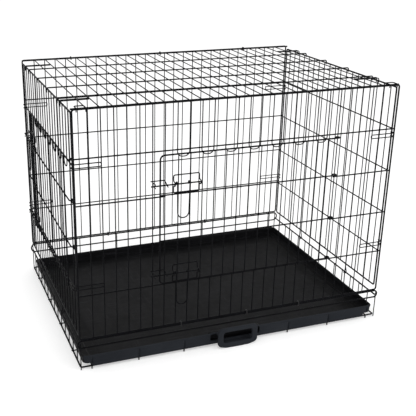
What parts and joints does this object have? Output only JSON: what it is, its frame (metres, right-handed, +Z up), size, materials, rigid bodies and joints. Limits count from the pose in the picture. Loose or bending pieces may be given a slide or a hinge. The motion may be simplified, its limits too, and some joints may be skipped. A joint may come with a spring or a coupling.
{
  "type": "wire dog crate",
  "caption": "Folding wire crate for a dog, with a front door, an end door, a lift-up top, slide-bolt latches and a slide-out plastic pan.",
  "frame": {"origin": "centre of the underside of the overall box, on the ground", "axes": "+X along the long side to the right, +Y from the front to the back, +Z up"},
  "size_m": [0.6438, 0.4692, 0.4887],
  "materials": {
    "coated_wire": "semi-gloss black coating",
    "ring_wire": "black, a little worn where it rubs",
    "pan_plastic": "moulded, semi-gloss charcoal"
  },
  "bodies": {
    "crate_frame": {"base_floor_grid": "coated_wire", "base_left_side": "coated_wire", "base_right_side": "coated_wire", "front_sill": "coated_wire", "back_sill": "coated_wire", "front_panel": "coated_wire", "back_panel": "coated_wire", "back_hinge_ring_1": "ring_wire", "back_hinge_ring_2": "ring_wire", "back_hinge_ring_3": "ring_wire", "front_hinge_ring_1": "ring_wire", "front_hinge_ring_2": "ring_wire", "front_hinge_ring_3": "ring_wire", "back_left_lower_hook": "coated_wire", "back_left_upper_hook": "coated_wire", "back_right_lower_hook": "coated_wire", "back_right_upper_hook": "coated_wire", "front_left_lower_hook": "coated_wire", "front_left_upper_hook": "coated_wire", "front_right_lower_hook": "coated_wire", "front_right_upper_hook": "coated_wire", "front_door_upper_catch": "coated_wire", "front_door_lower_catch": "coated_wire"},
    "pan": {"pan": "pan_plastic"},
    "top": {"top_panel": "coated_wire", "top_hinge_ring_1": "ring_wire", "top_hinge_ring_2": "ring_wire", "top_hinge_ring_3": "ring_wire", "top_left_back_hook": "coated_wire", "top_left_catch": "coated_wire", "top_left_front_hook": "coated_wire", "top_right_back_hook": "coated_wire", "top_right_catch": "coated_wire", "top_right_front_hook": "coated_wire"},
    "left_end": {"left_end_panel": "coated_wire", "end_door_upper_catch": "coated_wire", "end_door_lower_catch": "coated_wire"},
    "right_end": {"right_end_panel": "coated_wire"},
    "front_door": {"front_door": "coated_wire", "front_door_upper_keeper": "coated_wire", "front_door_upper_stop_wire": "coated_wire", "front_door_lower_keeper": "coated_wire", "front_door_lower_stop_wire": "coated_wire"},
    "front_door_upper_bolt": {"front_door_upper_bolt": "coated_wire"},
    "front_door_upper_handle": {"front_door_upper_handle": "coated_wire"},
    "front_door_lower_bolt": {"front_door_lower_bolt": "coated_wire"},
    "front_door_lower_handle": {"front_door_lower_handle": "coated_wire"},
    "end_door": {"end_door": "coated_wire", "end_door_upper_keeper": "coated_wire", "end_door_upper_stop_wire": "coated_wire", "end_door_lower_keeper": "coated_wire", "end_door_lower_stop_wire": "coated_wire"},
    "end_door_upper_bolt": {"end_door_upper_bolt": "coated_wire"},
    "end_door_upper_handle": {"end_door_upper_handle": "coated_wire"},
    "end_door_lower_bolt": {"end_door_lower_bolt": "coated_wire"},
    "end_door_lower_handle": {"end_door_lower_handle": "coated_wire"}
  },
  "joints": [
    {"name": "pan_slide", "type": "slide", "parent": "crate_frame", "child": "pan", "axis": [0, -1, 0], "range_m": [0, 0.4]},
    {"name": "top_lift", "type": "hinge", "parent": "crate_frame", "child": "top", "pos_m": [0.00634, 0.22959, 0.484], "axis": [-1, 0, 0], "range_deg": [0, 180]},
    {"name": "left_end_fold", "type": "hinge", "parent": "crate_frame", "child": "left_end", "pos_m": [-0.30366, 0.00659, 0.049], "axis": [0, -1, 0], "range_deg": [-87, 0]},
    {"name": "right_end_fold", "type": "hinge", "parent": "crate_frame", "child": "right_end", "pos_m": [0.31634, 0.00659, 0.049], "axis": [0, 1, 0], "range_deg": [-90, 0]},
    {"name": "front_door_swing", "type": "hinge", "parent": "crate_frame", "child": "front_door", "pos_m": [0.19384, -0.21657, 0.272], "axis": [0, 0, 1], "range_deg": [0, 150]},
    {"name": "end_door_swing", "type": "hinge", "parent": "left_end", "child": "end_door", "pos_m": [-0.30383, -0.19141, 0.272], "axis": [0, 0, 1], "range_deg": [0, 135]},
    {"name": "front_door_upper_bolt_slide", "type": "slide", "parent": "front_door", "child": "front_door_upper_bolt", "axis": [1, 0, 0], "range_m": [0, 0.017]},
    {"name": "front_door_upper_handle_swing", "type": "hinge", "parent": "front_door_upper_bolt", "child": "front_door_upper_handle", "pos_m": [-0.11516, -0.22949, 0.343], "axis": [-1, 0, 0], "range_deg": [0, 150]},
    {"name": "front_door_lower_bolt_slide", "type": "slide", "parent": "front_door", "child": "front_door_lower_bolt", "axis": [1, 0, 0], "range_m": [0, 0.017]},
    {"name": "front_door_lower_handle_swing", "type": "hinge", "parent": "front_door_lower_bolt", "child": "front_door_lower_handle", "pos_m": [-0.11516, -0.22949, 0.173], "axis": [-1, 0, 0], "range_deg": [0, 150]},
    {"name": "end_door_upper_bolt_slide", "type": "slide", "parent": "end_door", "child": "end_door_upper_bolt", "axis": [0, -1, 0], "range_m": [0, 0.017]},
    {"name": "end_door_upper_handle_swing", "type": "hinge", "parent": "end_door_upper_bolt", "child": "end_door_upper_handle", "pos_m": [-0.31675, 0.11009, 0.343], "axis": [0, 1, 0], "range_deg": [0, 150]},
    {"name": "end_door_lower_bolt_slide", "type": "slide", "parent": "end_door", "child": "end_door_lower_bolt", "axis": [0, -1, 0], "range_m": [0, 0.017]},
    {"name": "end_door_lower_handle_swing", "type": "hinge", "parent": "end_door_lower_bolt", "child": "end_door_lower_handle", "pos_m": [-0.31675, 0.11009, 0.173], "axis": [0, 1, 0], "range_deg": [0, 150]}
  ]
}
